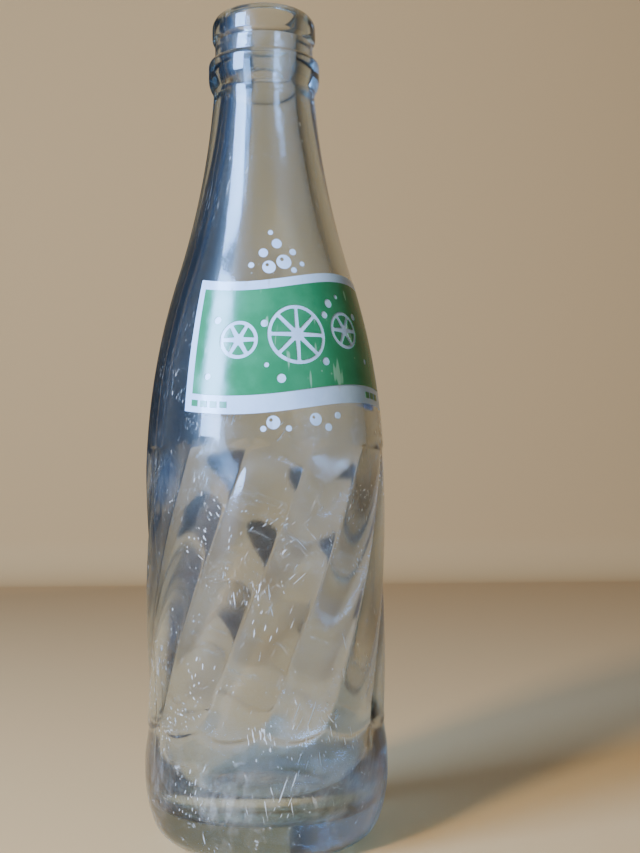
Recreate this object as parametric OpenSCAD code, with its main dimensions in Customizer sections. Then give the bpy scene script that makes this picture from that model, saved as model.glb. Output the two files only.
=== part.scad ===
// Returnable glass soda bottle with a spiral of rounded ribs and a label
// of two fired enamels. It stands on Z = 0 with its axis on Z, and the middle
// of the label faces -Y. The crown finish takes a standard 26 mm crown cap.

/* [Overall] */
// Height from the standing ring to the top of the lip
bottle_h = 210; // [206:0.5:212]
// Radius of the label band, the widest part of the body
body_r = 30.25; // [29.5:0.25:31]
// Height of the label band's widest line, where the shoulder starts
shoulder_z = 89; // [84:1:92]
// Share of the way up to the neck that the shoulder's outward curve takes
shoulder_share = 0.45; // [0.4:0.01:0.56]

/* [Base and heel] */
// Radius of the plain heel band, a little proud of the ribbed waist
heel_r = 30.5; // [30:0.1:31]
// Height of the heel band's widest line
heel_z = 18; // [16:1:19]
// Radius of the long heel curve, seen from the side
heel_curve_r = 34; // [32:1:42]
// Radius of the corner that rolls under to the standing ring
corner_r = 9.5; // [7:0.5:10]
// Width of the flat standing ring
ring_w = 2; // [1.5:0.1:3]
// Rise of the domed push-up inside the standing ring
push_up_h = 3; // [2:0.25:4]
// Thickness of glass between the push-up and the inside floor
base_t = 7; // [5:0.5:8]

/* [Wall] */
// Thickness of the body wall
wall_t = 3.6; // [3:0.1:4]
// Radius of the inside corner between the floor and the wall
inner_corner_r = 16; // [10:1:18]

/* [Neck and crown finish] */
// Radius that the neck curve closes to under the lip
neck_r = 12.3; // [12.1:0.05:12.6]
// Radius of the straight bore of the mouth
bore_r = 8.2; // [7.8:0.1:8.5]
// Depth of the straight bore below the lip's top
bore_depth = 23.5; // [18:0.5:26]
// Radius of the crown lip
lip_r = 13.3; // [13.15:0.05:13.45]
// Radius of the rounding at the top of the lip
lip_round_r = 4; // [3:0.1:4.3]
// Height of the lip's straight edge, where the cap's skirt grips
lip_edge_h = 2.5; // [1.5:0.1:2.6]
// Radius of the rounding under the lip
lip_under_r = 1.6; // [1.2:0.1:1.8]
// Radius of the groove between the lip and the bead
groove_r = 12.6; // [12.3:0.05:12.75]
// Radius of the transfer bead under the lip
bead_r = 14.25; // [14:0.05:14.5]

/* [Swirl] */
// Number of rounded ribs round the body
rib_count = 12; // [10:1:14]
// Depth of the valleys between the ribs
valley_depth = 1.1; // [0.5:0.05:1.2]
// Share of a rib's width over which it falls away to its two valleys
valley_share = 0.92; // [0.6:0.02:0.94]
// Height of the valleys' lower ends
swirl_low_z = 28; // [26:0.5:32]
// Height of the valleys' upper ends
swirl_high_z = 98.5; // [92:0.5:99]
// Turn of the swirl for each millimetre of height, in degrees
swirl_rate = 0.82; // [0.6:0.02:0.9]
// Bearing of a valley at the shoulder line, from -Y towards +X, in degrees
swirl_start = -4; // [-30:1:30]

/* [Label] */
// Thickness of each coat of enamel
enamel_t = 0.12; // [0.1:0.01:0.2]
// Half of the angle that the label wraps round the bottle
label_half_a = 60; // [50:1:62]
// Middle height of the label's lower edge
label_low_z = 107; // [106.5:0.5:108]
// Middle height of the label's upper edge
label_high_z = 139; // [137:0.5:139]
// Half of the height of the wave in the label's edges
wave_h = 1.6; // [0:0.2:1.6]
// Width of the white border round the green field
border_w = 2.2; // [1.5:0.1:2.5]
// Height of the white foot strip that holds the dashes
foot_h = 4.4; // [4:0.1:5]
// Width of the white pith between the green segments of a fruit wheel
pith_w = 0.9; // [0.6:0.1:1.1]

/* [Hidden] */
$fn = 96;

GLASS = [0.80, 0.86, 0.87, 0.45];
WHITE_ENAMEL = [0.84, 0.88, 0.94];
GREEN_ENAMEL = [0.24, 0.60, 0.38];

arc_n = 8;            // steps in a round stretch of the section
station = 3;          // spacing of the section's points up the long curves
neck_top_drop = 4.5;  // height of the lip's top over the end of the neck's curve
waist_in = 0.35;      // how far the waist is drawn in from the label band
top_z = bottle_h;
neck_z = top_z - neck_top_drop;
waist_r = body_r - waist_in;
waist_z = 32;
heel_top_z = 20;

// Corner and push-up of the base
corner_c = heel_r - heel_curve_r
         + sqrt(pow(heel_curve_r - corner_r, 2) - pow(heel_z - corner_r, 2));
corner_a = -asin((heel_z - corner_r) / (heel_curve_r - corner_r));
ring_in_r = corner_c - ring_w;

// The shoulder's outward curve and the neck's inward curve meet tangentially
taper = body_r - neck_r;
rise = neck_z - shoulder_z;
curve_sum = (pow(taper, 2) + pow(rise, 2)) / (2 * taper);
shoulder_curve_r = shoulder_share * curve_sum;
neck_curve_r = curve_sum - shoulder_curve_r;
meet_z = shoulder_z + shoulder_share * rise;

// Crown finish, down from the top
lip_top_z = top_z - lip_round_r;
lip_low_z = lip_top_z - lip_edge_h;
mouth_round_r = lip_r - lip_round_r - bore_r;
lip_under_a = -60;    // where the rounding under the lip starts
lip_neck_h = 0.2;     // straight neck between the groove and the lip's underside
bead_drop = 13.9;     // height of the lip's top over the bead's upper round
bead_h = 3;           // height between the bead's upper and lower rounds
bead_top_r = 2;
bead_low_r = 6.5;
bead_top_a = 84;
bead_low_a = -33;
bead_step = 0.6;      // rise from the bead's upper round to the straight groove
bead_clear = 5;       // how far below the bead the neck's curve is left
bead_top_z = top_z - bead_drop;
bead_low_z = bead_top_z - bead_h;
finish_z = bead_low_z - bead_clear;
bore_low_z = top_z - bore_depth;

// Cavity
cavity_r = body_r - wall_t;
floor_z = push_up_h + base_t;
floor_rise = 1.2;     // rise of the domed inside floor
floor_edge_z = floor_z - floor_rise;
cavity_top_wall = neck_curve_at(bore_low_z) - bore_r;

// Swirl
pitch = 360 / rib_count;
valley_half_a = pitch * valley_share / 2;
valley_foot = 9;      // length over which a valley runs out gently at its foot
valley_head = 7;      // length of its rounded head
valley_power = 1.7;   // how sharply a rib falls into its valley
valley_lip = 0.12;    // how far the cutter's rim stands off the glass
valley_cover = 2;     // how far the cutter's back stands off the glass
valley_rings = 16;
valley_cols = 10;

// Label
wave_share = 2.2;     // length of a wave over half the label's width
wave_period = wave_share * label_half_a;
edge_step = 3;        // degrees between the points of a label edge
coat_low_z = 101;     // lowest and highest points of a coat before it is trimmed
coat_high_z = 152;
cut_depth = 40;       // reach of the cutters that trim the enamel
dot_facets = 32;

// Fruit wheels: [bearing, radius, number of segments]
WHEELS = [[-3, 7.2, 8], [-33, 4.6, 6], [27, 4.6, 6]];
wheel_rim = 0.9;      // white rim round the segments of a wheel
wheel_raise = 0.6;    // how far the wheels stand over the middle of the field
segment_tip = 0.3;    // gap between a segment's tip and where its two sides would meet

// Bubbles: [bearing, height, radius]
OVER_BUBBLES = [[-28, 141.5, 0.7], [-17, 141, 1.6], [-20.5, 144.6, 1.1], [-7.5, 142.4, 1.8],
                [-11.5, 147, 1.2], [-1.5, 140.4, 0.7], [-1, 145, 0.8], [4.5, 142.1, 0.6],
                [-15.5, 149.8, 0.6]];
FIELD_BUBBLES = [[-20, 127, 0.9], [-19, 117, 0.6], [-45, 128, 0.9], [14, 129.6, 0.9],
                 [18, 132.6, 1.1], [25, 134.5, 0.6], [11.5, 118.2, 1], [38, 130, 0.9],
                 [42, 119, 0.7], [-12, 113.8, 1.1], [-48, 114.5, 0.8]];
UNDER_BUBBLES = [[-16, 103.4, 1.6], [-20.5, 101.9, 0.7], [-9, 102, 0.7], [4, 104.2, 1.5],
                 [10.5, 102.4, 0.9], [16, 105.3, 0.8]];
glint_from_r = 1.4;   // smallest bubble that has a clear glint
glint_share = 0.27;   // radius of a glint, as a share of its bubble's
glint_off = 0.35;     // how far a glint lies to the left and up, as the same share

// Foot dashes: [first bearing, last bearing] of each run
DASH_RUNS = [[-56, -36], [38, 56]];
dash_a = 3.4;
dash_gap_a = 1.6;
dash_h = 1.5;

// ---- curves of the section -------------------------------------------------

function arc(c, r, a0, a1, n = arc_n) =
    [for (i = [0:n]) let (a = a0 + (a1 - a0) * i / n) [c[0] + r * cos(a), c[1] + r * sin(a)]];
function smooth(t) = t * t * (3 - 2 * t);
function shoulder_curve_at(z) =
    body_r - shoulder_curve_r + sqrt(pow(shoulder_curve_r, 2) - pow(z - shoulder_z, 2));
function neck_curve_at(z) =
    neck_r + neck_curve_r - sqrt(pow(neck_curve_r, 2) - pow(neck_z - z, 2));
function heel_flare_at(z) =
    heel_r + (waist_r - heel_r) * smooth((z - heel_top_z) / (waist_z - heel_top_z));
function waist_at(z) =
    waist_r + (body_r - waist_r) * sin(90 * (z - waist_z) / (shoulder_z - waist_z));
// Outside radius between the heel band and the crown finish
function outer_at(z) =
    z < heel_top_z ? heel_r
    : z < waist_z ? heel_flare_at(z)
    : z < shoulder_z ? waist_at(z)
    : z < meet_z ? shoulder_curve_at(z)
    : neck_curve_at(z);
// The wall thickens evenly from the shoulder to the foot of the bore
function inner_at(z) =
    outer_at(z) - wall_t
    - (cavity_top_wall - wall_t) * (z - shoulder_z) / (bore_low_z - shoulder_z);
// Spherical cap of height h over a rim of radius r, from the axis outwards
function cap(r, z_rim, h, n = arc_n) =
    let (big = (r * r + h * h) / (2 * h))
    [for (i = [0:n]) let (x = r * i / n) [x, z_rim + h - big + sqrt(big * big - x * x)]];

function base_section() = concat(
    cap(ring_in_r, 0, push_up_h),
    arc([corner_c, corner_r], corner_r, -90, corner_a),
    arc([heel_r - heel_curve_r, heel_z], heel_curve_r, corner_a + 1, 0, 5));
function side_section() =
    [for (z = [heel_top_z:station:finish_z]) [outer_at(z), z]];
function finish_section() = concat(
    arc([bead_r - bead_low_r, bead_low_z], bead_low_r, bead_low_a, 0, 5),
    arc([bead_r - bead_top_r, bead_top_z], bead_top_r, 0, bead_top_a, 5),
    [[groove_r, bead_top_z + bead_top_r + bead_step]],
    [[groove_r, lip_low_z - lip_under_r - lip_neck_h]],
    arc([lip_r - lip_under_r, lip_low_z], lip_under_r, lip_under_a, 0, 4),
    arc([lip_r - lip_round_r, lip_top_z], lip_round_r, 0, 90),
    arc([bore_r + mouth_round_r, top_z - mouth_round_r], mouth_round_r, 90, 180, 5));
function cavity_section() = concat(
    [[bore_r, bore_low_z]],
    [for (z = [bore_low_z - station:-station:shoulder_z]) [inner_at(z), z]],
    arc([cavity_r - inner_corner_r, floor_edge_z + inner_corner_r], inner_corner_r, 0, -90),
    [for (i = [arc_n:-1:0]) cap(cavity_r - inner_corner_r, floor_edge_z, floor_rise)[i]]);

// ---- glass -----------------------------------------------------------------

// Bearing of a valley's bottom at height z
function valley_bearing(k, z) = swirl_start + pitch * k + swirl_rate * (z - shoulder_z);
// Full depth along a valley, with a gentle foot and a rounded head
function valley_depth_at(z) =
    let (foot = min(1, (z - swirl_low_z) / valley_foot), head = min(1, (swirl_high_z - z) / valley_head))
    (valley_depth + valley_lip) * min(smooth(foot), sqrt(1 - pow(1 - head, 2)));
function valley_point(k, z, u, off) =
    let (a = valley_bearing(k, z) + u * valley_half_a, r = outer_at(z) + off)
    [r * sin(a), -r * cos(a), z];
// One ring of the cutter: the flanks of two ribs, then its back
function valley_ring(k, z) = concat(
    [for (i = [0:valley_cols]) let (u = 2 * i / valley_cols - 1)
        valley_point(k, z, u, valley_lip - valley_depth_at(z) * pow(1 - abs(u), valley_power))],
    [valley_point(k, z, 1, valley_cover), valley_point(k, z, -1, valley_cover)]);

// Solid through a list of rings with the same number of points
module ring_solid(rings) {
    n = len(rings[0]);
    last = len(rings) - 1;
    points = [for (ring = rings) each ring];
    sides = [for (j = [0:last - 1], i = [0:n - 1])
        let (a = j * n + i, b = j * n + (i + 1) % n)
        each [[a, b, b + n], [a, b + n, a + n]]];
    caps = [for (i = [1:n - 2]) each
        [[0, i + 1, i], [last * n, last * n + i, last * n + i + 1]]];
    polyhedron(points, concat(sides, caps), convexity = 4);
}

module valley(k) {
    middle_z = (swirl_low_z + swirl_high_z) / 2;
    half_h = (swirl_high_z - swirl_low_z) / 2;
    // Rings lie closer together in the rounded ends
    ring_solid([for (i = [0:valley_rings])
        valley_ring(k, middle_z - half_h * cos(180 * i / valley_rings))]);
}

module glass_bottle() {
    color(GLASS)
    difference() {
        rotate_extrude()
            polygon(concat(base_section(), side_section(), finish_section(), cavity_section()));
        for (k = [0:rib_count - 1]) valley(k);
    }
}

// ---- enamel ----------------------------------------------------------------

// Coat of enamel number n over the glass, all the way round
module coat(n) {
    heights = [for (z = [coat_low_z:station:coat_high_z]) z];
    rotate_extrude()
        polygon(concat(
            [for (z = heights) [outer_at(z) + n * enamel_t, z]],
            [for (i = [len(heights) - 1:-1:0]) [outer_at(heights[i]) + (n + 1) * enamel_t, heights[i]]]));
}

// Cutter that trims a coat to an outline given as [bearing, height] points
module label_cutter(outline) {
    rotate([90, 0, 0])
        linear_extrude(cut_depth)
            polygon([for (p = outline) [outer_at(p[1]) * sin(p[0]), p[1]]]);
}

// Rod that cuts a round dot of radius r out of a coat
module dot_cutter(a, z, r) {
    rotate([0, 0, a]) translate([0, 0, z]) rotate([90, 0, 0])
        cylinder(r = r, h = cut_depth, $fn = dot_facets);
}

function wave(a) = wave_h * sin(360 * a / wave_period);
// Band between two heights that both follow the wave
function wave_band(a0, a1, z0, z1) = concat(
    [for (a = [a0:edge_step:a1]) [a, z0 + wave(a)]],
    [for (a = [a1:-edge_step:a0]) [a, z1 + wave(a)]]);
function degrees_for(mm) = mm * 180 / (PI * body_r);

field_half_a = label_half_a - round(degrees_for(border_w));
field_low_z = label_low_z + foot_h;
field_high_z = label_high_z - border_w;
wheels_z = (field_low_z + field_high_z) / 2 + wheel_raise;

module white_ground() {
    color(WHITE_ENAMEL)
    intersection() {
        coat(0);
        label_cutter(wave_band(-label_half_a, label_half_a, label_low_z, label_high_z));
    }
}

module green_field() {
    color(GREEN_ENAMEL)
    difference() {
        intersection() {
            coat(1);
            label_cutter(wave_band(-field_half_a, field_half_a, field_low_z, field_high_z));
        }
        for (w = WHEELS) dot_cutter(w[0], wheels_z + wave(w[0]), w[1]);
        for (b = FIELD_BUBBLES) dot_cutter(b[0], b[1], b[2]);
    }
}

// Outline of one segment of a fruit wheel of radius r cut in n
module segment_outline(r, n) {
    outer = r - wheel_rim;
    half = 180 / n;
    inner = pith_w / 2 / sin(half) + segment_tip;
    trim = asin(pith_w / 2 / outer);
    polygon(concat(
        [[inner, 0]],
        arc([0, 0], outer, -half + trim, half - trim, 4)));
}

module wheel_cutter(a, z, r, n) {
    rotate([0, 0, a]) translate([0, 0, z]) rotate([90, 0, 0])
        for (i = [0:n - 1])
            rotate([0, 0, (i + 0.5) * 360 / n]) linear_extrude(cut_depth) segment_outline(r, n);
}

module green_wheel_segments() {
    color(GREEN_ENAMEL)
    for (w = WHEELS)
        intersection() {
            coat(1);
            wheel_cutter(w[0], wheels_z + wave(w[0]), w[1], w[2]);
        }
}

module green_foot_dashes() {
    z0 = label_low_z + (foot_h - dash_h) / 2;
    color(GREEN_ENAMEL)
    for (run = DASH_RUNS, a = [run[0]:dash_a + dash_gap_a:run[1] - dash_a])
        intersection() {
            coat(1);
            label_cutter([[a, z0 + wave(a)], [a + dash_a, z0 + wave(a + dash_a)],
                          [a + dash_a, z0 + dash_h + wave(a + dash_a)], [a, z0 + dash_h + wave(a)]]);
        }
}

// Round bubbles, the larger ones with a clear glint to the upper left
module bubbles(list) {
    color(WHITE_ENAMEL)
    for (b = list)
        difference() {
            intersection() {
                coat(0);
                dot_cutter(b[0], b[1], b[2]);
            }
            if (b[2] > glint_from_r)
                dot_cutter(b[0] - degrees_for(glint_off * b[2]), b[1] + glint_off * b[2],
                           glint_share * b[2]);
        }
}

module bubbles_over_label() bubbles(OVER_BUBBLES);
module bubbles_under_label() bubbles(UNDER_BUBBLES);

glass_bottle();
white_ground();
green_field();
green_wheel_segments();
green_foot_dashes();
bubbles_over_label();
bubbles_under_label();
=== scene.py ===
"""A returnable glass soda bottle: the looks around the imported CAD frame.

The bottle stands on Z = 0 with its axis on Z and the middle of its label facing -Y. All lengths in
the classes are millimetres; mesh code turns them to metres at the last step.
"""

from __future__ import annotations

import logging
import math
from dataclasses import dataclass, field
from enum import Enum
from typing import Callable, Iterable, Sequence

import bmesh
import bpy
from mathutils import Euler, Matrix, Vector, noise


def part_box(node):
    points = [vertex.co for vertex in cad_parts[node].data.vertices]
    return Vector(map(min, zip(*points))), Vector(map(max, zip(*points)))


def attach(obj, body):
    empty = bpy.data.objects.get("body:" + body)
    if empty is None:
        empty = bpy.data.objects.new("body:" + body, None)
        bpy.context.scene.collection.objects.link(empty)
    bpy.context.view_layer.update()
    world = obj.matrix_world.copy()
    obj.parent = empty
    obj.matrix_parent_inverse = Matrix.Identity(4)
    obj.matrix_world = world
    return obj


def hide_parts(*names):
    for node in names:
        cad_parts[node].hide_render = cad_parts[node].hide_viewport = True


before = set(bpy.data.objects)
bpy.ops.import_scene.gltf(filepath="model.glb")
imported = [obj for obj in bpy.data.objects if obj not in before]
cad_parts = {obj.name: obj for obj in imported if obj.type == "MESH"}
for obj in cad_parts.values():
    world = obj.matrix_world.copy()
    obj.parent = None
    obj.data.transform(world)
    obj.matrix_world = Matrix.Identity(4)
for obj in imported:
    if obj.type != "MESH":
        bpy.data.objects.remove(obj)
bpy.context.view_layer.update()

MM = 0.001
ROOT = "root"
LOG = logging.getLogger("bottle")
SHARP_ANGLE = math.radians(40)
NEAR_MM = 1e-4  # points closer than this are one
ON_AXIS_MM = 1e-6
LINE_PERIOD = 4  # a noise's period, in widths of the fine lines that its peaks draw

Point = tuple[float, float]
Triple = tuple[float, float, float]
Tree = bpy.types.NodeTree
Socket = bpy.types.NodeSocket
Four = tuple[float, float, float, float]
Mesh = bmesh.types.BMesh
Object = bpy.types.Object
Material = bpy.types.Material


class Slot(Enum):
    """The record's material slots."""

    GLASS = "clear_glass"
    WHITE = "white_enamel"
    GREEN = "green_enamel"


# ---- small helpers ---------------------------------------------------------


def linear(hex_colour: str) -> Four:
    """Turn an sRGB colour into Blender's linear one.

    Args:
        hex_colour: the colour as six hex digits, such as "D8E2EC".

    Returns:
        Linear red, green, blue and an alpha of 1.
    """
    parts = [int(hex_colour[i : i + 2], 16) / 255 for i in (0, 2, 4)]
    out = [c / 12.92 if c <= 0.04045 else ((c + 0.055) / 1.055) ** 2.4 for c in parts]
    return (out[0], out[1], out[2], 1.0)


def node(tree: Tree, kind: str, links: dict[str | int, Socket] | None = None,
         values: dict[str | int, object] | None = None, **settings: object) -> bpy.types.Node:
    """Add one shader node.

    Args:
        tree: the material's node tree.
        kind: the node's type, without its "ShaderNode" prefix.
        links: input name or number to the output that feeds it.
        values: input name or number to its plain value.
        settings: the node's own properties, such as operation="MULTIPLY".

    Returns:
        The new node.
    """
    new = tree.nodes.new("ShaderNode" + kind)
    for name, value in settings.items():
        setattr(new, name, value)
    for name, value in (values or {}).items():
        new.inputs[name].default_value = value
    for name, source in (links or {}).items():
        tree.links.new(source, new.inputs[name])
    return new


def ramp(tree: Tree, source: Socket, low: float, high: float,
         to_low: float = 0.0, to_high: float = 1.0) -> Socket:
    """Stretch a value smoothly from one range to another.

    Args:
        tree: the material's node tree.
        source: the value to stretch.
        low: the input that gives to_low.
        high: the input that gives to_high.
        to_low: the output at low.
        to_high: the output at high.

    Returns:
        The stretched value's socket.
    """
    stretched = node(tree, "MapRange", {"Value": source},
                     {"From Min": low, "From Max": high, "To Min": to_low, "To Max": to_high},
                     interpolation_type="SMOOTHSTEP")
    return stretched.outputs["Result"]


def maths(tree: Tree, operation: str, a: object, b: object = 0.0) -> Socket:
    """Join two values with a Math node.

    Args:
        tree: the material's node tree.
        operation: the Math node's operation.
        a: the first value, a socket or a number.
        b: the second value, a socket or a number.

    Returns:
        The result's socket.
    """
    new = node(tree, "Math", operation=operation)
    for i, value in enumerate((a, b)):
        if isinstance(value, Socket):
            tree.links.new(value, new.inputs[i])
        else:
            new.inputs[i].default_value = value
    return new.outputs[0]


def arc(centre: Point, radius: float, start: float, end: float, steps: int) -> list[Point]:
    """Points along a circular arc.

    Args:
        centre: the arc's centre.
        radius: the arc's radius.
        start: the first angle, in degrees.
        end: the last angle, in degrees.
        steps: the number of steps between them.

    Returns:
        The points, both ends among them.
    """
    angles = [math.radians(start + (end - start) * i / steps) for i in range(steps + 1)]
    return [(centre[0] + radius * math.cos(a), centre[1] + radius * math.sin(a)) for a in angles]


def spread(low: float, high: float, step: float) -> list[float]:
    """Evenly spaced values.

    Args:
        low: the first value.
        high: the last value.
        step: about how far apart they are.

    Returns:
        The values, both ends among them.
    """
    count = max(1, round(abs(high - low) / step))
    return [low + (high - low) * i / count for i in range(count + 1)]


def smooth(t: float) -> float:
    """A smooth step.

    Args:
        t: how far along the step is, held between 0 and 1.

    Returns:
        0 to 1, with no slope at either end.
    """
    t = min(1.0, max(0.0, t))
    return t * t * (3 - 2 * t)


def make_piece(bm: Mesh, name: str, material: Material) -> Object:
    """Turn a finished bmesh into a piece that rides on the bottle, smooth but for its sharp rims.

    Args:
        bm: the mesh, in metres and in place; it is freed here.
        name: the piece's name.
        material: the finish it takes.

    Returns:
        The new object.
    """
    mesh = bpy.data.meshes.new(name)
    bm.to_mesh(mesh)
    bm.free()
    mesh.materials.append(material)
    mesh.shade_smooth()
    mesh.set_sharp_from_angle(angle=SHARP_ANGLE)
    piece = bpy.data.objects.new(name, mesh)
    bpy.context.scene.collection.objects.link(piece)
    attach(piece, ROOT)
    return piece


# ---- finishes --------------------------------------------------------------


@dataclass(frozen=True)
class MouldedGlass:
    """Soda-lime container glass, blown in a mould and reused for years.

    To the eye it is clear with a cold grey-green edge, under a film of fine rubbing that turns the
    window's light into a pale blue haze, thickest at the heel, the hip and the neck ring.
    """

    tint: str = "F2F7F8"
    depth_tint: str = "94B9C0"
    depth_density: float = 32.0
    scuff_tint: str = "DCE8F4"
    shadow_tint: str = "B9BCBC"
    ior: float = 1.52
    polish: float = 0.085
    worn_roughness: float = 0.5
    worn_clearness: float = 0.42
    haze_wear: float = 0.2
    film_roughness: float = 0.34
    film_least: float = 0.35
    film_full_haze: float = 0.7
    wave_scale: float = 85.0
    relief_strength: float = 0.4
    relief_mm: float = 0.16
    seam_half_mm: float = 0.35
    seam_relief: float = 0.5
    mark_relief: float = 0.25

    # Where bottles rub on one another: the heights between which each zone comes in and goes out
    heel_z_mm: Point = (36.0, 16.0)
    hip_z_mm: Four = (78.0, 90.0, 101.0, 107.0)
    ring_z_mm: Four = (195.0, 198.0, 202.6, 204.4)
    hip_weight: float = 0.42
    ring_weight: float = 0.9
    heel_haze: float = 0.6
    haze_everywhere: float = 0.22
    cloud_scale: float = 48.0
    cloud_range: Point = (0.34, 0.68)
    streak_size_mm: Triple = (1.6, 1.6, 9.0)
    streak_range: Point = (0.36, 0.66)
    streak_least: float = 0.35

    # Scuffs, scratches and nicks
    scuff_grain_mm: float = 1.2
    scuff_range: Point = (0.56, 0.74)
    scuff_weight: float = 0.85
    scratch_width_mm: float = 0.11
    scratch_range: Point = (0.70, 0.79)
    scratch_sway_mm: float = 1.2
    scratch_sway_scale: float = 70.0
    patch_scale: float = 55.0
    patch_range: Point = (0.58, 0.72)
    patch_weight: float = 0.7
    # Each family's turn from vertical, length over width, and share of the glass
    scratch_families: tuple[tuple[Triple, float, float], ...] = (
        ((0.0, 0.38, 0.0), 50.0, 0.06), ((0.1, -0.20, 0.0), 34.0, 0.04),
        ((0.0, 0.85, 0.0), 42.0, 0.02), ((0.0, -0.70, 0.0), 38.0, 0.02))
    spared_z_mm: Point = (105.0, 135.0)
    spared_weight: float = 0.35
    nick_size_mm: Triple = (0.55, 0.55, 3.2)
    nick_range: Point = (0.67, 0.74)
    nick_patch: Point = (0.46, 0.60)
    nick_weight: float = 0.7

    def scratches(self, tree: Tree, place: Socket, turn: Triple, stretch: float, cover: float) -> Socket:
        """One family of fine scratches that run mostly one way, in patches.

        Args:
            tree: the material's node tree.
            place: the point on the bottle, in metres.
            turn: how the family's direction is turned from vertical.
            stretch: the length of a scratch over its width.
            cover: how much of the glass the patches take.

        Returns:
            A mask, 1 on a scratch.
        """
        period = self.scratch_width_mm * LINE_PERIOD * MM
        bent = node(tree, "TexNoise", {"Vector": place}, {"Scale": self.scratch_sway_scale, "Detail": 1.0})
        swayed = node(tree, "VectorMath", {0: bent.outputs["Color"]},
                      {"Scale": self.scratch_sway_mm * MM}, operation="SCALE")
        moved = node(tree, "VectorMath", {0: place, 1: swayed.outputs[0]}, operation="ADD")
        turned = node(tree, "Mapping", {"Vector": moved.outputs[0]},
                      {"Rotation": turn, "Scale": (period, period, period * stretch)}, vector_type="TEXTURE")
        lines = node(tree, "TexNoise", {"Vector": turned.outputs[0]},
                     {"Scale": 1.0, "Detail": 0.0, "Roughness": 0.0})
        line = ramp(tree, lines.outputs[0], *self.scratch_range)
        # Each family's patches lie in their own places
        shifted = node(tree, "Mapping", {"Vector": place}, {"Location": (stretch * 0.01, cover, 0.0)})
        patches = node(tree, "TexNoise", {"Vector": shifted.outputs[0]},
                       {"Scale": self.patch_scale, "Detail": 3.0})
        low, high = self.patch_range
        patch = ramp(tree, patches.outputs[0], low - cover, high - cover, 0.0, self.patch_weight)
        return maths(tree, "MULTIPLY", line, patch)

    def stretched_noise(self, tree: Tree, place: Socket, lean: float, size_mm: Triple,
                        values: dict[str, float]) -> Socket:
        """A noise drawn out along the bottle.

        Args:
            tree: the material's node tree.
            place: the point on the bottle, in metres.
            lean: how far the noise leans from vertical, in radians.
            size_mm: the size of its features each way.
            values: the noise's own detail, roughness and distortion.

        Returns:
            The noise.
        """
        leant = node(tree, "Mapping", {"Vector": place},
                     {"Rotation": (0.0, lean, 0.0), "Scale": tuple(size * MM for size in size_mm)},
                     vector_type="TEXTURE")
        return node(tree, "TexNoise", {"Vector": leant.outputs[0]}, {"Scale": 1.0, **values}).outputs[0]

    def band(self, tree: Tree, height: Socket, heights_mm: Four) -> Socket:
        """A band round the bottle.

        Args:
            tree: the material's node tree.
            height: the point's height, in metres.
            heights_mm: where the band starts, is full, begins to fade and ends.

        Returns:
            A mask, 1 in the band.
        """
        low, full, fading, high = (z * MM for z in heights_mm)
        return maths(tree, "MULTIPLY", ramp(tree, height, low, full), ramp(tree, height, high, fading))

    def wear(self, tree: Tree, place: Socket, height: Socket) -> tuple[Socket, Socket]:
        """Where the glass has been rubbed.

        Args:
            tree: the material's node tree.
            place: the point on the bottle, in metres.
            height: its height, in metres.

        Returns:
            A soft haze, and the crisp marks in it: scuffs, scratches and nicks.
        """
        heel = ramp(tree, height, *(z * MM for z in self.heel_z_mm))
        hip = maths(tree, "MULTIPLY", self.band(tree, height, self.hip_z_mm), self.hip_weight)
        ring = maths(tree, "MULTIPLY", self.band(tree, height, self.ring_z_mm), self.ring_weight)
        zones = maths(tree, "MAXIMUM", heel, maths(tree, "MAXIMUM", hip, ring))
        cloud = node(tree, "TexNoise", {"Vector": place},
                     {"Scale": self.cloud_scale, "Detail": 5.0, "Roughness": 0.62}).outputs[0]
        clouded = ramp(tree, cloud, *self.cloud_range)
        rubbed = self.stretched_noise(tree, place, 0.3, self.streak_size_mm, {"Detail": 5.0, "Roughness": 0.7})
        streaks = ramp(tree, rubbed, *self.streak_range, self.streak_least, 1.0)
        rubbing = maths(tree, "ADD", maths(tree, "ADD", zones, self.haze_everywhere),
                        maths(tree, "MULTIPLY", heel, self.heel_haze))
        haze = maths(tree, "MULTIPLY", maths(tree, "MULTIPLY", rubbing, clouded), streaks)
        grain = node(tree, "TexNoise", {"Vector": place},
                     {"Scale": 1 / (self.scuff_grain_mm * 3 * MM), "Detail": 8.0, "Roughness": 0.75,
                      "Distortion": 0.4})
        scuff = maths(tree, "MULTIPLY", zones, ramp(tree, grain.outputs[0], *self.scuff_range))
        marks = maths(tree, "MULTIPLY", scuff, self.scuff_weight)
        for turn, stretch, cover in self.scratch_families:
            marks = maths(tree, "MAXIMUM", marks, self.scratches(tree, place, turn, stretch, cover))
        # The shoulder and neck stand clear of the next bottle and are scratched less
        low, high = self.spared_z_mm
        marks = maths(tree, "MULTIPLY", marks, ramp(tree, height, low * MM, high * MM, 1.0, self.spared_weight))
        nicks = self.stretched_noise(tree, place, 0.25, self.nick_size_mm,
                                     {"Detail": 3.0, "Roughness": 0.6, "Distortion": 0.6})
        nick = maths(tree, "MULTIPLY", ramp(tree, nicks, *self.nick_range, 0.0, self.nick_weight),
                     ramp(tree, cloud, *self.nick_patch))
        return haze, maths(tree, "MAXIMUM", marks, nick)

    def build(self) -> Material:
        """Make the material.

        Returns:
            Clear glass whose film, scuffs, scratches and seams are rougher and whiter than the rest.
        """
        material = bpy.data.materials.new("moulded_soda_lime_glass")
        material.use_nodes = True
        tree = material.node_tree
        tree.nodes.clear()
        place = node(tree, "TexCoord").outputs["Object"]
        axis = node(tree, "SeparateXYZ", {"Vector": place})
        haze, marks = self.wear(tree, place, axis.outputs["Z"])

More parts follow.
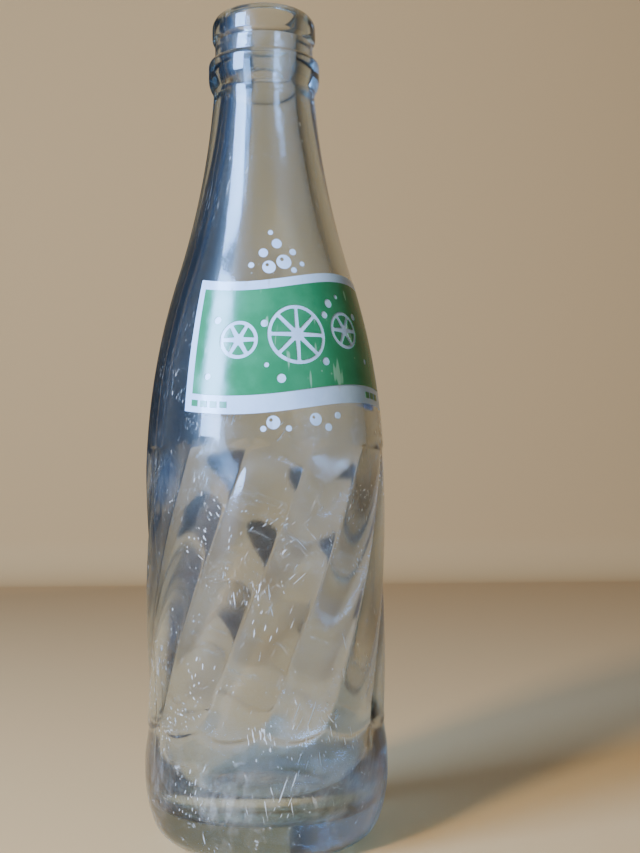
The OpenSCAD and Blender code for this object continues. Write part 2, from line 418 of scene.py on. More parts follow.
        worn = maths(tree, "MAXIMUM", marks, maths(tree, "MULTIPLY", haze, self.haze_wear))
        rough = ramp(tree, worn, 0.0, 1.0, self.polish, self.worn_roughness)
        clear = ramp(tree, worn, 0.0, 1.0, 1.0, self.worn_clearness)
        film = ramp(tree, haze, 0.0, self.film_full_haze, self.film_least, 1.0)
        colour = node(tree, "MixRGB", {"Fac": worn},
                      {"Color1": linear(self.tint), "Color2": linear(self.scuff_tint)})

        # The parting line of the two mould halves, and the faint waviness of moulded glass
        side = maths(tree, "ABSOLUTE", axis.outputs["Y"])
        seam = ramp(tree, side, self.seam_half_mm * MM, 0.0)
        waves = node(tree, "TexNoise", {"Vector": place}, {"Scale": self.wave_scale, "Detail": 1.5})
        relief = maths(tree, "ADD", maths(tree, "MULTIPLY", seam, self.seam_relief), waves.outputs[0])
        relief = maths(tree, "SUBTRACT", relief, maths(tree, "MULTIPLY", marks, self.mark_relief))
        bump = node(tree, "Bump", {"Height": relief},
                    {"Strength": self.relief_strength, "Distance": self.relief_mm * MM})

        glass = node(tree, "BsdfPrincipled",
                     {"Base Color": colour.outputs[0], "Roughness": rough, "Transmission Weight": clear,
                      "Coat Weight": film, "Normal": bump.outputs[0]},
                     {"IOR": self.ior, "Coat Roughness": self.film_roughness, "Coat IOR": self.ior})
        # Light passes to what lies in the bottle's shadow, dimmed once by each face of the glass
        passed = node(tree, "BsdfTransparent", values={"Color": linear(self.shadow_tint)})
        path = node(tree, "LightPath")
        mixed = node(tree, "MixShader",
                     {0: path.outputs["Is Shadow Ray"], 1: glass.outputs[0], 2: passed.outputs[0]})
        depth = node(tree, "VolumeAbsorption",
                     values={"Color": linear(self.depth_tint), "Density": self.depth_density})
        node(tree, "OutputMaterial", {"Surface": mixed.outputs[0], "Volume": depth.outputs[0]})
        return material


@dataclass(frozen=True)
class FiredEnamel:
    """Glass enamel screen-printed on the bottle and fired: opaque, glossy, a little thin and rubbed."""

    name: str
    colour: str
    worn: str
    thin: str
    roughness: float = 0.17
    roughness_less: float = 0.05
    roughness_more: float = 0.07
    ior: float = 1.75
    cloud_scale: float = 120.0
    rub_length_mm: float = 9.0
    rub_width_mm: float = 0.35
    rub_lean: float = 0.12
    rub_range: Point = (0.72, 0.80)
    rub_roughness: float = 0.2
    pit_scale: float = 420.0
    pit_range: Point = (0.14, 0.08)
    pit_patch: Point = (0.58, 0.66)
    pit_depth: float = 0.8
    worn_weight: float = 0.7
    relief_strength: float = 0.3
    relief_mm: float = 0.04

    def build(self) -> Material:
        """Make the material.

        Returns:
            An opaque enamel with uneven thickness, fine rub lines and pinholes.
        """
        material = bpy.data.materials.new(self.name)
        material.use_nodes = True
        tree = material.node_tree
        tree.nodes.clear()
        place = node(tree, "TexCoord").outputs["Object"]
        cloud = node(tree, "TexNoise", {"Vector": place},
                     {"Scale": self.cloud_scale, "Detail": 4.0, "Roughness": 0.6}).outputs[0]
        across = 1 / (self.rub_width_mm * LINE_PERIOD * MM)
        stretched = node(tree, "Mapping", {"Vector": place},
                         {"Rotation": (0.0, self.rub_lean, 0.0),
                          "Scale": (across, across, across * self.rub_width_mm / self.rub_length_mm)})
        lines = node(tree, "TexNoise", {"Vector": stretched.outputs[0]}, {"Scale": 1.0, "Detail": 0.0})
        rub = ramp(tree, lines.outputs[0], *self.rub_range)
        pits = node(tree, "TexVoronoi", {"Vector": place}, {"Scale": self.pit_scale})
        pit = maths(tree, "MULTIPLY", ramp(tree, pits.outputs["Distance"], *self.pit_range),
                    ramp(tree, cloud, *self.pit_patch))
        base = node(tree, "MixRGB", {"Fac": ramp(tree, cloud, 0.35, 0.70)},
                    {"Color1": linear(self.colour), "Color2": linear(self.thin)})
        wear = maths(tree, "MULTIPLY", maths(tree, "MAXIMUM", rub, pit), self.worn_weight)
        worn = node(tree, "MixRGB", {"Fac": wear, "Color1": base.outputs[0]}, {"Color2": linear(self.worn)})
        uneven = ramp(tree, cloud, 0.3, 0.7, self.roughness - self.roughness_less,
                      self.roughness + self.roughness_more)
        rough = maths(tree, "ADD", uneven, maths(tree, "MULTIPLY", rub, self.rub_roughness))
        relief = maths(tree, "SUBTRACT", cloud, maths(tree, "MULTIPLY", pit, self.pit_depth))
        bump = node(tree, "Bump", {"Height": relief},
                    {"Strength": self.relief_strength, "Distance": self.relief_mm * MM})
        paint = node(tree, "BsdfPrincipled",
                     {"Base Color": worn.outputs[0], "Roughness": rough, "Normal": bump.outputs[0]},
                     {"IOR": self.ior})
        node(tree, "OutputMaterial", {"Surface": paint.outputs[0]})
        return material


@dataclass(frozen=True)
class MattPaper:
    """Plain seamless paper of the studio: matt, with no visible grain at this distance."""

    name: str
    colour: str
    roughness: float = 0.85

    def build(self) -> Material:
        """Make the material.

        Returns:
            One matt colour.
        """
        material = bpy.data.materials.new(self.name)
        material.use_nodes = True
        tree = material.node_tree
        tree.nodes.clear()
        paper = node(tree, "BsdfPrincipled",
                     values={"Base Color": linear(self.colour), "Roughness": self.roughness})
        node(tree, "OutputMaterial", {"Surface": paper.outputs[0]})
        return material


# ---- glass -----------------------------------------------------------------


@dataclass
class BottleForm:
    """The bottle's section and its swirl, in millimetres and degrees, as the CAD part has them."""

    height: float
    heel_r: float
    body_r: float = 30.25
    shoulder_z: float = 89.0
    shoulder_share: float = 0.45
    heel_z: float = 18.0
    heel_curve_r: float = 34.0
    corner_r: float = 9.5
    ring_w: float = 2.0
    push_up_h: float = 3.0
    base_t: float = 7.0
    wall_t: float = 3.6
    inner_corner_r: float = 16.0
    neck_r: float = 12.3
    bore_r: float = 8.2
    bore_depth: float = 23.5
    lip_r: float = 13.3
    lip_round_r: float = 4.0
    lip_edge_h: float = 2.5
    lip_under_r: float = 1.6
    groove_r: float = 12.6
    bead_r: float = 14.25
    bead_drop: float = 13.9
    bead_h: float = 3.0
    bead_top_r: float = 2.0
    bead_low_r: float = 6.5
    neck_top_drop: float = 4.5
    finish_drop: float = 21.5
    floor_rise: float = 1.2
    waist_in: float = 0.35
    waist_z: float = 32.0
    heel_top_z: float = 20.0
    rib_count: int = 12
    valley_depth: float = 1.1
    valley_share: float = 0.92
    valley_power: float = 1.7
    swirl_low_z: float = 28.0
    swirl_high_z: float = 98.5
    valley_foot: float = 9.0
    valley_head: float = 7.0
    swirl_rate: float = 0.82
    swirl_start: float = -4.0

    def __post_init__(self) -> None:
        """Work out the curves that depend on the driving sizes."""
        self.neck_z = self.height - self.neck_top_drop
        self.waist_r = self.body_r - self.waist_in
        taper = self.body_r - self.neck_r
        rise = self.neck_z - self.shoulder_z
        curve_sum = (taper**2 + rise**2) / (2 * taper)
        self.shoulder_curve_r = self.shoulder_share * curve_sum
        self.neck_curve_r = curve_sum - self.shoulder_curve_r
        self.meet_z = self.shoulder_z + self.shoulder_share * rise
        self.bore_low_z = self.height - self.bore_depth
        self.cavity_top_wall = self.outer_at(self.bore_low_z) - self.bore_r

    def outer_at(self, z: float) -> float:
        """The outside's radius between the heel band and the crown finish.

        Args:
            z: the height.

        Returns:
            The radius.
        """
        if z < self.heel_top_z:
            return self.heel_r
        if z < self.waist_z:
            t = (z - self.heel_top_z) / (self.waist_z - self.heel_top_z)
            return self.heel_r + (self.waist_r - self.heel_r) * smooth(t)
        if z < self.shoulder_z:
            quarter = math.pi / 2 * (z - self.waist_z) / (self.shoulder_z - self.waist_z)
            return self.waist_r + (self.body_r - self.waist_r) * math.sin(quarter)
        if z < self.meet_z:
            curve_r = self.shoulder_curve_r
            return self.body_r - curve_r + math.sqrt(curve_r**2 - (z - self.shoulder_z) ** 2)
        return self.neck_r + self.neck_curve_r - math.sqrt(self.neck_curve_r**2 - (self.neck_z - z) ** 2)

    def inner_at(self, z: float) -> float:
        """The cavity's radius between the body and the foot of the bore.

        Args:
            z: the height.

        Returns:
            The radius.
        """
        share = (z - self.shoulder_z) / (self.bore_low_z - self.shoulder_z)
        return self.outer_at(z) - self.wall_t - (self.cavity_top_wall - self.wall_t) * share

    def swirl_at(self, z: float) -> float:
        """How far the swirl has turned.

        Args:
            z: the height.

        Returns:
            The turn, in degrees.
        """
        held = min(self.swirl_high_z, max(self.swirl_low_z, z))
        return self.swirl_start + self.swirl_rate * (held - self.shoulder_z)

    def cap(self, rim_r: float, rim_z: float, rise: float, steps: int) -> list[Point]:
        """Points of a shallow dome from its rim to the axis.

        Args:
            rim_r: the rim's radius.
            rim_z: the rim's height.
            rise: the dome's height over its rim.
            steps: the number of steps.

        Returns:
            The points, as radius and height.
        """
        big = (rim_r**2 + rise**2) / (2 * rise)
        radii = [rim_r * (1 - i / steps) for i in range(steps + 1)]
        return [(r, rim_z + rise - big + math.sqrt(big**2 - r**2)) for r in radii]

    def side_heights(self) -> list[float]:
        """Heights of the section's points from the heel band to the bead, close together where the ribs end."""
        foot_z, head_z = self.swirl_low_z + self.valley_foot, self.swirl_high_z - self.valley_head
        # Where the spacing changes, and the spacing from there up
        stops = [(self.heel_top_z, 0.8), (self.swirl_low_z - 4, 0.32), (foot_z, 1.5), (head_z, 0.4),
                 (self.swirl_high_z, 2.0)]
        heights = []
        for (low, step), (high, _) in zip(stops, stops[1:]):
            heights += spread(low, high, step)[:-1]
        return heights + spread(self.swirl_high_z, self.height - self.finish_drop, stops[-1][1])

    def crown_finish(self) -> list[Point]:
        """The bead, the groove and the lip, as radius and height."""
        lip_top = self.height - self.lip_round_r
        lip_low = lip_top - self.lip_edge_h
        mouth_r = self.lip_r - self.lip_round_r - self.bore_r
        bead_top = self.height - self.bead_drop
        points = arc((self.bead_r - self.bead_low_r, bead_top - self.bead_h), self.bead_low_r, -33, 0, 12)
        points += arc((self.bead_r - self.bead_top_r, bead_top), self.bead_top_r, 0, 80, 12)
        points += [(self.groove_r + 0.06, bead_top + 2.3), (self.groove_r, bead_top + 2.9),
                   (self.groove_r, lip_low - 2.1)]
        points += arc((self.lip_r - self.lip_under_r, lip_low), self.lip_under_r, -62, 0, 8)
        points += arc((self.lip_r - self.lip_round_r, lip_top), self.lip_round_r, 0, 90, 14)
        return points + arc((self.bore_r + mouth_r, self.height - mouth_r), mouth_r, 90, 180, 9)[1:]

    def outside(self) -> list[Point]:
        """The outside from the middle of the push-up to the top of the lip, as radius and height."""
        reach = self.heel_curve_r - self.corner_r
        drop = self.heel_z - self.corner_r
        corner_c = self.heel_r - self.heel_curve_r + math.sqrt(reach**2 - drop**2)
        corner_a = -math.degrees(math.asin(drop / reach))
        push_up = self.cap(corner_c - self.ring_w, 0.0, self.push_up_h, 10)[::-1]
        # Points close to both edges of the standing ring keep it flat
        rolled = push_up[-1:] + [(corner_c - self.ring_w + 0.3, 0.0), (corner_c - 0.2, 0.0)]
        heel = arc((corner_c, self.corner_r), self.corner_r, -90, corner_a, 14)
        heel += arc((self.heel_r - self.heel_curve_r, self.heel_z), self.heel_curve_r, corner_a + 1.5, 0, 10)
        sides = [(self.outer_at(z), z) for z in self.side_heights()]
        return push_up[:-1] + rolled + heel[1:] + sides + self.crown_finish()

    def inside(self) -> list[Point]:
        """The cavity from the foot of the bore down to the middle of the floor, as radius and height."""
        cavity_r = self.body_r - self.wall_t
        floor_edge = self.push_up_h + self.base_t - self.floor_rise
        floor_r, corner_z = cavity_r - self.inner_corner_r, floor_edge + self.inner_corner_r
        bore = [(self.bore_r, z) for z in spread(self.height - 4, self.bore_low_z, 3.0)]
        walls = [(self.inner_at(z), z) for z in spread(self.bore_low_z, self.shoulder_z, 2.5)[1:]]
        straight = [(cavity_r, z) for z in spread(self.shoulder_z, corner_z, 4.0)[1:-1]]
        corner = arc((floor_r, corner_z), self.inner_corner_r, 0, -90, 16)
        return bore + walls + straight + corner + self.cap(floor_r, floor_edge, self.floor_rise, 8)[1:]


@dataclass
class GlassShell:
    """The one-piece bottle: a closed shell of glass, spun and then ribbed."""

    form: BottleForm
    finish: MouldedGlass
    columns: int = 288
    crowd: float = 0.62
    valley_round: float = 0.05
    foot_drop: float = 0.45
    foot_scallop: float = 3.0
    foot_z: float = 30.2
    foot_soft: float = 1.5
    foot_fade: float = 8.5
    wall_wander_mm: float = 0.22
    wander_size_mm: float = 26.0
    wander_fade_mm: Triple = (20.0, 12.0, 14.0)

    def valley_depth_at(self, z: float) -> float:
        """A valley's depth along its middle, with a gentle foot and a rounded head.

        Args:
            z: the height.

        Returns:
            The depth.
        """
        form = self.form
        head = (form.swirl_high_z - z) / form.valley_head
        if head <= 0:
            return 0.0
        rounded = math.sqrt(1 - (1 - min(1.0, head)) ** 2)
        return form.valley_depth * min(smooth((z - form.swirl_low_z) / form.valley_foot), rounded)

    def across_rib(self, bearing: float) -> float:
        """How far a bearing lies from the nearest valley.

        Args:
            bearing: the bearing before the swirl turns it, in degrees.

        Returns:
            0 in the valley, 1 on the crest of a rib.
        """
        pitch = 360 / self.form.rib_count
        return abs((bearing / pitch + 0.5) % 1 - 0.5) * 2

    def rib_cut(self, bearing: float, z: float) -> float:
        """How far the outside is drawn in at one point of the body.

        Args:
            bearing: the point's bearing before the swirl turns it, in degrees.
            z: the point's height.

        Returns:
            The depth, 0 on the crests and outside the swirl.
        """
        across = self.across_rib(bearing)
        # A small round in the bottom of a valley, which no mould leaves quite sharp
        eased = math.sqrt(across**2 + self.valley_round**2) - self.valley_round
        share = max(0.0, 1 - eased / self.form.valley_share)
        valley = self.valley_depth_at(z) * share**self.form.valley_power
        # The rounded foot of each rib stands a little proud of the plain heel below it
        below = self.foot_z + self.foot_scallop * (1 - across) ** 2 - z
        faded = smooth((below - self.foot_soft) / self.foot_fade)
        return max(valley, self.foot_drop * smooth(below / self.foot_soft) * (1 - faded))

    def crowded(self, bearing: float) -> float:
        """Move a bearing towards the nearest valley, so that the mesh is finest there.

        Args:
            bearing: an evenly spaced bearing, in radians.

        Returns:
            The moved bearing.
        """
        pitch = math.tau / self.form.rib_count
        return bearing - self.crowd * pitch / math.tau * math.sin(bearing * self.form.rib_count)

    def spun(self) -> Mesh:
        """Spin the section into a closed shell of revolution, in millimetres."""
        bm = bmesh.new()
        inner = bm.verts.layers.int.new("inner")
        outside, inside = self.form.outside(), self.form.inside()
        verts = [bm.verts.new((0.0, -r, z)) for r, z in outside + inside]
        chain = [bm.edges.new(pair) for pair in zip(verts, verts[1:])]
        for v in verts[len(outside) :]:
            v[inner] = 1
        bmesh.ops.spin(bm, geom=verts + chain, cent=(0, 0, 0), axis=(0, 0, 1), dvec=(0, 0, 0),
                       angle=math.tau, steps=self.columns, use_merge=True)
        bmesh.ops.remove_doubles(bm, verts=bm.verts, dist=NEAR_MM)
        bmesh.ops.recalc_face_normals(bm, faces=bm.faces)
        return bm

    def shape(self, bm: Mesh) -> None:
        """Sink the valleys, turn them into a swirl and let the inside wall wander as blown glass does.

        Args:
            bm: the spun shell, in millimetres.
        """
        form = self.form
        inner = bm.verts.layers.int["inner"]
        top_fade, low_z, low_fade = self.wander_fade_mm
        for v in bm.verts:
            r = math.hypot(v.co.x, v.co.y)
            if r < ON_AXIS_MM:
                continue
            z = v.co.z
            bearing = self.crowded(math.atan2(v.co.x, -v.co.y))
            turned = bearing + math.radians(form.swirl_at(z))
            if v[inner]:
                place = Vector((math.sin(turned) * r, -math.cos(turned) * r, z)) / self.wander_size_mm
                fade = smooth((form.bore_low_z - z) / top_fade) * smooth((z - low_z) / low_fade)
                r -= noise.noise(place) * self.wall_wander_mm * fade
            elif form.heel_top_z - 1 < z < form.swirl_high_z:
                r -= self.rib_cut(math.degrees(bearing), z)
            v.co = Vector((r * math.sin(turned), -r * math.cos(turned), z))

    def build(self) -> Object:
        """Build and dress the glass, which stands for the CAD bottle.

        Returns:
            The finished piece.
        """
        bm = self.spun()
        self.shape(bm)
        bmesh.ops.scale(bm, vec=(MM, MM, MM), verts=bm.verts)
        piece = make_piece(bm, "swirled_glass_bottle", self.finish.build())
        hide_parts("glass_bottle")
        return piece


# ---- label -----------------------------------------------------------------


@dataclass
class Artwork:
    """Flat artwork, unrolled in millimetres at the body's radius, that is then wrapped on the glass."""

    form: BottleForm
    grid_mm: float = 1.3
    grid_shift_mm: float = 0.0137

    def unrolled(self, bearing: float) -> float:
        """Where a bearing lies on the unrolled surface.

        Args:
            bearing: the bearing, in degrees.

        Returns:
            The distance from the middle, in millimetres.
        """
        return math.radians(bearing) * self.form.body_r

    def loop(self, bm: Mesh, points: Sequence[Point]) -> None:
        """Draw a closed outline.

        Args:
            bm: the artwork's mesh.
            points: the outline's points, as bearing in degrees and height in millimetres.
        """
        verts = [bm.verts.new((self.unrolled(a), z, 0.0)) for a, z in points]
        for pair in zip(verts, verts[1:] + verts[:1]):
            bm.edges.new(pair)

    def dot(self, bm: Mesh, bearing: float, z: float, radius: float, segments: int = 40) -> None:
        """Draw a dot that is round once it is wrapped on the glass.

        Args:
            bm: the artwork's mesh.
            bearing: the dot's bearing, in degrees.
            z: its height.
            radius: its radius.
            segments: the number of sides.
        """
        widen = self.form.body_r / self.form.outer_at(z)
        place = Matrix.Translation((self.unrolled(bearing), z, 0)) @ Matrix.Diagonal((widen, 1, 1, 1))
        bmesh.ops.create_circle(bm, cap_ends=False, segments=segments, radius=radius, matrix=place)

    def wrap(self, bm: Mesh, low: float, high: float) -> None:
        """Fill the outlines, wrap them on the glass and give the coat its thickness.

        Args:
            bm: a mesh of closed flat outlines, holes among them; it ends as a closed solid in metres.
            low: the coat's underside, in millimetres off the glass.
            high: the coat's top.
        """
        bmesh.ops.triangle_fill(bm, use_beauty=True, use_dissolve=False, edges=bm.edges)
        for axis in (0, 1):
            values = [v.co[axis] for v in bm.verts]
            for value in spread(min(values), max(values), self.grid_mm)[1:-1]:
                across = Vector((1.0, 0.0, 0.0)) if axis == 0 else Vector((0.0, 1.0, 0.0))
                bmesh.ops.bisect_plane(bm, geom=bm.verts[:] + bm.edges[:] + bm.faces[:], dist=NEAR_MM,
                                       plane_co=across * (value + self.grid_shift_mm), plane_no=across)
        grown = bmesh.ops.extrude_face_region(bm, geom=bm.faces[:], use_keep_orig=True)
        top = {v for v in grown["geom"] if isinstance(v, bmesh.types.BMVert)}
        for v in bm.verts:
            angle = v.co.x / self.form.body_r
            z = v.co.y
            r = self.form.outer_at(z) + (high if v in top else low)
            v.co = Vector((r * math.sin(angle), -r * math.cos(angle), z)) * MM
        bmesh.ops.recalc_face_normals(bm, faces=bm.faces)


@dataclass
class FruitWheel:
    """A round slice of fruit, open in the green field, with green segments inside."""

    bearing: float
    radius: float
    segments: int
    rim: float = 0.9
    rib: float = 0.9
    corner: float = 0.35
    corner_share: float = 0.45
    tip_gap: float = 0.3

    def outline(self, index: int) -> list[Point]:
        """One segment's outline about the wheel's middle, its corners rounded.

        Args:
            index: which segment.

        Returns:
            The points, in millimetres across and up.
        """
        outer = self.radius - self.rim
        half = math.pi / self.segments
        tip = self.rib / 2 / math.sin(half) + self.tip_gap
        trim = math.asin(self.rib / 2 / outer)
        sweep = math.degrees(half - trim)
        points = self.rounded([(tip, 0.0)] + arc((0, 0), outer, -sweep, sweep, 8))
        turn = (index + 0.5) * math.tau / self.segments
        cos, sin = math.cos(turn), math.sin(turn)
        return [(x * cos - y * sin, x * sin + y * cos) for x, y in points]

    def rounded(self, raw: list[Point]) -> list[Point]:
        """Round the three corners of a segment.

        Args:
            raw: the tip and then the points along the outer arc.

        Returns:
            The outline with each corner drawn as a short curve.
        """
        last = len(raw) - 1
        out: list[Point] = []
        for i, point in enumerate(raw):
            if i not in (0, 1, last):
                out.append(point)
                continue
            here, before, after = Vector(point), Vector(raw[i - 1]), Vector(raw[(i + 1) % len(raw)])
            start, end = (
                here + (other - here).normalized() * min(self.corner, (other - here).length * self.corner_share)
                for other in (before, after))
            for t in (0.0, 0.33, 0.67, 1.0):
                curved = start * (1 - t) ** 2 + here * 2 * t * (1 - t) + end * t**2
                out.append((curved.x, curved.y))
        return out


@dataclass
class EnamelLabel:
    """The two fired coats: a white ground with a green field over it, and white bubbles round them."""

    form: BottleForm
    white: FiredEnamel
    green: FiredEnamel
    coat_t: float = 0.12
    sunk: float = 0.03
    half_a: float = 60.0
    low_z: float = 107.0
    high_z: float = 139.0
    wave_h: float = 1.6
    wave_share: float = 2.2
    border_w: float = 2.2
    foot_h: float = 4.4
    dash_h: float = 1.5
    dash_a: float = 3.4
    dash_gap_a: float = 1.6
    wheel_raise: float = 0.6
    dash_runs: tuple[Point, ...] = ((-56, -36), (38, 56))
    wheels: tuple[FruitWheel, ...] = (
        FruitWheel(-3, 7.2, 8), FruitWheel(-33, 4.6, 6), FruitWheel(27, 4.6, 6))
    over: tuple[Triple, ...] = (
        (-28, 141.5, 0.7), (-17, 141, 1.6), (-20.5, 144.6, 1.1), (-7.5, 142.4, 1.8),
        (-11.5, 147, 1.2), (-1.5, 140.4, 0.7), (-1, 145, 0.8), (4.5, 142.1, 0.6), (-15.5, 149.8, 0.6))
    on_field: tuple[Triple, ...] = (
        (-20, 127, 0.9), (-19, 117, 0.6), (-45, 128, 0.9), (14, 129.6, 0.9),
        (18, 132.6, 1.1), (25, 134.5, 0.6), (11.5, 118.2, 1), (38, 130, 0.9),
        (42, 119, 0.7), (-12, 113.8, 1.1), (-48, 114.5, 0.8))
    under: tuple[Triple, ...] = (
        (-16, 103.4, 1.6), (-20.5, 101.9, 0.7), (-9, 102, 0.7), (4, 104.2, 1.5),
        (10.5, 102.4, 0.9), (16, 105.3, 0.8))
    glint_from_r: float = 1.4
    glint_share: float = 0.27
    glint_off: float = 0.35
    art: Artwork = field(init=False)

    def __post_init__(self) -> None:
        """Work out the field's edges and make the finishes."""
        self.art = Artwork(self.form)
        self.field_a = self.half_a - round(math.degrees(self.border_w / self.form.body_r))
        self.field_low = self.low_z + self.foot_h
        self.field_high = self.high_z - self.border_w
        self.mid_z = (self.field_low + self.field_high) / 2 + self.wheel_raise
        self.white_coat = self.white.build()
        self.green_coat = self.green.build()

    def wave(self, bearing: float) -> float:
        """How far the label's edges rise.

        Args:
            bearing: the bearing, in degrees.

        Returns:
            The rise.
        """
        return self.wave_h * math.sin(math.tau * bearing / (self.wave_share * self.half_a))

    def band(self, half_a: float, low: float, high: float) -> list[Point]:
        """The outline of a band whose edges both follow the wave.

        Args:
            half_a: half of the angle it wraps.
            low: the lower edge's middle height.
            high: the upper edge's middle height.

        Returns:
            The outline, as bearing and height.
        """
        bearings = spread(-half_a, half_a, 2.0)
        lower = [(a, low + self.wave(a)) for a in bearings]
        return lower + [(a, high + self.wave(a)) for a in reversed(bearings)]

    def coat(self, name: str, cad_node: str, number: int,
             draw: Callable[[Mesh], None]) -> Object:
        """Print one coat of enamel.

        Args:
            name: the piece's name.
            cad_node: the CAD node that it stands for.
            number: 0 for the white coat on the glass, 1 for the green one over it.
            draw: draws the artwork's outlines into a mesh.

        Returns:
            The finished piece.
        """
        bm = bmesh.new()
        draw(bm)
        low = self.coat_t - self.sunk if number else -self.sunk
        self.art.wrap(bm, low, self.coat_t * (number + 1))
        material, slot = (self.green_coat, Slot.GREEN) if number else (self.white_coat, Slot.WHITE)
        piece = make_piece(bm, name, material)
        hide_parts(cad_node)
        return piece

    def draw_ground(self, bm: Mesh) -> None:
        """Draw the white panel."""
        self.art.loop(bm, self.band(self.half_a, self.low_z, self.high_z))

    def draw_field(self, bm: Mesh) -> None:
        """Draw the green field with its wheels and bubbles left open."""
        self.art.loop(bm, self.band(self.field_a, self.field_low, self.field_high))
        for wheel in self.wheels:
            self.art.dot(bm, wheel.bearing, self.mid_z + self.wave(wheel.bearing), wheel.radius, 72)
        self.draw_dots(bm, self.on_field)

    def draw_segments(self, bm: Mesh) -> None:
        """Draw the green segments of the fruit wheels."""
        for wheel in self.wheels:
            middle_z = self.mid_z + self.wave(wheel.bearing)
            per_mm = math.degrees(1 / self.form.outer_at(middle_z))
            for i in range(wheel.segments):
                self.art.loop(bm, [(wheel.bearing + x * per_mm, middle_z + y) for x, y in wheel.outline(i)])

    def draw_dashes(self, bm: Mesh) -> None:
        """Draw the row of dashes on the white foot strip."""
        low = self.low_z + (self.foot_h - self.dash_h) / 2
        high = low + self.dash_h
        for first, last in self.dash_runs:
            a = float(first)
            while a <= last - self.dash_a:
                b = a + self.dash_a
                self.art.loop(bm, [(a, low + self.wave(a)), (b, low + self.wave(b)),
                                   (b, high + self.wave(b)), (a, high + self.wave(a))])
                a = b + self.dash_gap_a

    def draw_dots(self, bm: Mesh, dots: Iterable[Triple]) -> None:
        """Draw round bubbles, the large ones with a clear glint.

        Args:
            bm: the artwork's mesh.
            dots: each bubble's bearing, height and radius.
        """
        for bearing, z, radius in dots:
            self.art.dot(bm, bearing, z, radius)
            if radius > self.glint_from_r:
                off = self.glint_off * radius
                left = bearing - math.degrees(off / self.form.body_r)
                self.art.dot(bm, left, z + off, self.glint_share * radius, 20)

    def build(self) -> list[Object]:
        """Print every coat.

        Returns:
            The finished pieces.
        """
        return [
            self.coat("white_enamel_ground", "white_ground", 0, self.draw_ground),
            self.coat("green_enamel_field", "green_field", 1, self.draw_field),
            self.coat("green_fruit_segments", "green_wheel_segments", 1, self.draw_segments),
            self.coat("green_dashes", "green_foot_dashes", 1, self.draw_dashes),
            self.coat("white_bubbles_over", "bubbles_over_label", 0,
                      lambda bm: self.draw_dots(bm, self.over)),
            self.coat("white_bubbles_under", "bubbles_under_label", 0,
                      lambda bm: self.draw_dots(bm, self.under)),
        ]


# ---- studio ----------------------------------------------------------------


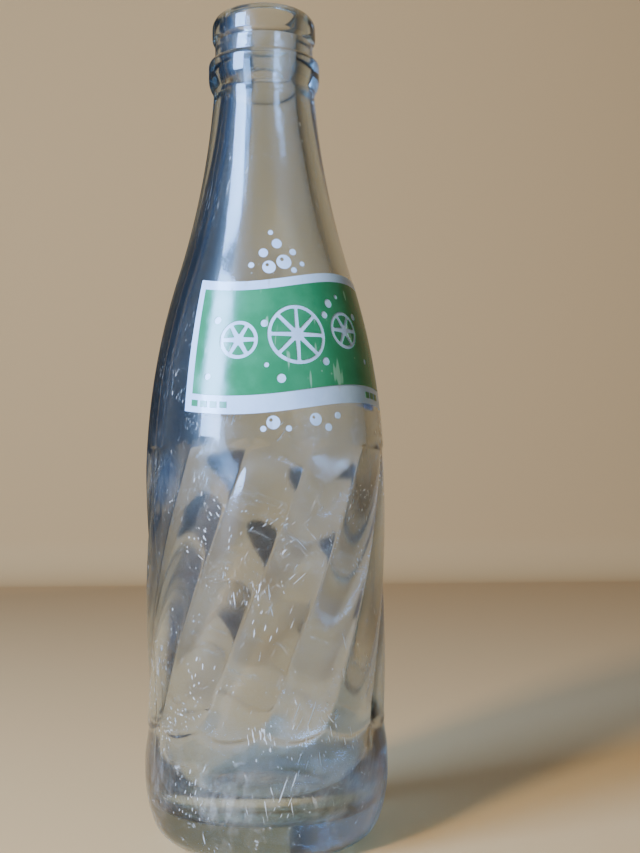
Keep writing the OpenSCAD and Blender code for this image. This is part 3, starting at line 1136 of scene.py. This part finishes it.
@dataclass
class Studio:
    """A plain pale sweep, soft lamps and the camera."""

    view_bearing: float = -19.5
    view_distance: float = 0.327
    eye_height: float = 0.0895
    focal_px: float = 1280.0
    axis_px: float = 54.5
    horizon_px: float = 55.5
    roll: float = -0.33
    image_height_px: float = 853.0
    sensor_mm: float = 36.0
    aim_height: float = 0.1
    wall_distance: float = 0.83
    sweep_radius: float = 0.04
    sweep_half_width: float = 2.2
    sweep_front: float = 1.6
    sweep_top: float = 2.4
    room: str = "CBD3DC"
    room_strength: float = 0.17
    paper: MattPaper = MattPaper("pale_seamless_paper", "BE9D6B")
    flag: MattPaper = MattPaper("dark_flag_cloth", "15181C")
    cool_flag: MattPaper = MattPaper("navy_flag_cloth", "2C4664")

    def around(self, bearing: float, distance: float, height: float) -> Vector:
        """A place round the bottle.

        Args:
            bearing: its bearing from the camera's, in degrees, positive to the right.
            distance: how far off it is, along the floor.
            height: its height.

        Returns:
            The place.
        """
        angle = math.radians(self.view_bearing + bearing)
        return Vector((math.sin(angle) * distance, -math.cos(angle) * distance, height))

    def prop(self, bm: Mesh, name: str, material: Material) -> Object:
        """Make a finished mesh into an object of the scene.

        Args:
            bm: the mesh, which is freed.
            name: its name.
            material: its finish.

        Returns:
            The object.
        """
        mesh = bpy.data.meshes.new(name)
        bm.to_mesh(mesh)
        bm.free()
        mesh.materials.append(material)
        piece = bpy.data.objects.new(name, mesh)
        bpy.context.scene.collection.objects.link(piece)
        return piece

    def sweep(self) -> Object:
        """Lay the floor and curve it up into a backdrop behind the bottle.

        Returns:
            The sweep.
        """
        radius = self.sweep_radius
        section = [(-self.sweep_front, 0.0)]
        section += [(y, z + radius) for y, z in arc((self.wall_distance - radius, 0.0), radius, -90, 0, 24)]
        section += [(self.wall_distance, self.sweep_top)]
        bm = bmesh.new()
        verts = [bm.verts.new((-self.sweep_half_width, y, z)) for y, z in section]
        edges = [bm.edges.new(pair) for pair in zip(verts, verts[1:])]
        grown = bmesh.ops.extrude_edge_only(bm, edges=edges)
        moved = [v for v in grown["geom"] if isinstance(v, bmesh.types.BMVert)]
        bmesh.ops.translate(bm, vec=(2 * self.sweep_half_width, 0, 0), verts=moved)
        turn = Matrix.Rotation(math.radians(self.view_bearing), 3, "Z")
        bmesh.ops.rotate(bm, cent=(0, 0, 0), matrix=turn, verts=bm.verts)
        bmesh.ops.recalc_face_normals(bm, faces=bm.faces)
        piece = self.prop(bm, "sweep", self.paper.build())
        piece.data.shade_smooth()
        return piece

    def card(self, name: str, bearing: float, distance: float, height: float, size: Point,
             material: Material) -> Object:
        """Stand a dark card beside the bottle, unseen but for what the glass shows of it.

        Args:
            name: the card's name.
            bearing: its bearing from the camera's.
            distance: how far off it stands.
            height: the height of its middle.
            size: its width and height.
            material: its finish.

        Returns:
            The card.
        """
        bm = bmesh.new()
        bmesh.ops.create_grid(bm, x_segments=1, y_segments=1, size=0.5)
        bmesh.ops.scale(bm, vec=(size[0], size[1], 1), verts=bm.verts)
        place = self.around(bearing, distance, height)
        aim = (Vector((0, 0, height)) - place).to_track_quat("-Z", "Y").to_matrix().to_4x4()
        bmesh.ops.transform(bm, matrix=Matrix.Translation(place) @ aim, verts=bm.verts)
        piece = self.prop(bm, name, material)
        piece.visible_camera = piece.visible_diffuse = piece.visible_shadow = False
        return piece

    def lamp(self, name: str, bearing: float, distance: float, height: float, size: Point,
             watts: float, colour: str, shines: bool = True) -> None:
        """Hang a soft rectangular lamp that faces the bottle.

        Args:
            name: the lamp's name.
            bearing: its bearing from the camera's.
            distance: how far off it hangs, along the floor.
            height: its height.
            size: its width and height.
            watts: its power.
            colour: its colour.
            shines: whether the glass shows it; one that does not still lights the floor and casts a shadow.
        """
        data = bpy.data.lights.new(name, "AREA")
        data.shape = "RECTANGLE"
        data.size, data.size_y = size
        data.energy = watts
        data.color = linear(colour)[:3]
        lamp = bpy.data.objects.new(name, data)
        lamp.location = self.around(bearing, distance, height)
        aim = Vector((0, 0, self.aim_height)) - lamp.location
        lamp.rotation_euler = aim.to_track_quat("-Z", "Y").to_euler()
        lamp.visible_glossy = lamp.visible_transmission = shines
        bpy.context.scene.collection.objects.link(lamp)

    def camera(self) -> None:
        """Set the camera at the eye's height, turned so that the bottle stands left of the middle."""
        data = bpy.data.cameras.new("camera")
        data.lens = self.focal_px / self.image_height_px * self.sensor_mm
        data.sensor_width = self.sensor_mm
        data.clip_start = 0.01
        camera = bpy.data.objects.new("camera", data)
        camera.location = self.around(0, self.view_distance, self.eye_height)
        pitch = math.atan(self.horizon_px / self.focal_px)
        yaw = math.atan(self.axis_px / self.focal_px)
        aim = Euler((math.pi / 2 + pitch, 0, math.radians(self.view_bearing) - yaw), "XYZ").to_matrix()
        camera.rotation_euler = (aim @ Matrix.Rotation(math.radians(self.roll), 3, "Z")).to_euler()
        bpy.context.scene.collection.objects.link(camera)
        bpy.context.scene.camera = camera

    def build(self) -> None:
        """Set up the sweep, the cards, the lamps and the camera."""
        self.sweep()
        dark = self.flag.build()
        self.card("back_flag", -152, 0.74, 0.33, (0.56, 0.66), dark)
        self.card("left_flag", -108, 0.80, 0.33, (0.62, 0.66), self.cool_flag.build())
        self.lamp("window", -54, 0.85, 0.48, (0.34, 0.54), 31.0, "94BFFF")
        self.lamp("key", -36, 0.85, 0.44, (0.12, 0.12), 15.0, "FFF4E6", shines=False)
        self.lamp("top_fill", 20, 0.5, 1.4, (1.2, 1.2), 1.5, "FFE9CC")
        world = bpy.data.worlds.new("studio")
        world.use_nodes = True
        background = world.node_tree.nodes["Background"]
        background.inputs["Color"].default_value = linear(self.room)
        background.inputs["Strength"].default_value = self.room_strength
        bpy.context.scene.world = world
        self.camera()


def main() -> None:
    """Build the studio, the glass and the label, and report each piece."""
    logging.basicConfig(level=logging.INFO, format="%(name)s: %(message)s")
    Studio().build()
    low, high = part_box("glass_bottle")
    form = BottleForm(height=(high.z - low.z) / MM, heel_r=min(high.x - low.x, high.y - low.y) / 2 / MM)
    pieces = [GlassShell(form, MouldedGlass()).build()]
    white = FiredEnamel("white_glass_enamel", "A9CCF4", "94ACC8", "9CBEE8")
    green = FiredEnamel("green_glass_enamel", "227450", "78AE96", "2C805C")
    pieces += EnamelLabel(form, white, green).build()
    for piece in pieces:
        LOG.info("%s: %d faces", piece.name, len(piece.data.polygons))


if __name__ == "__main__":
    main()
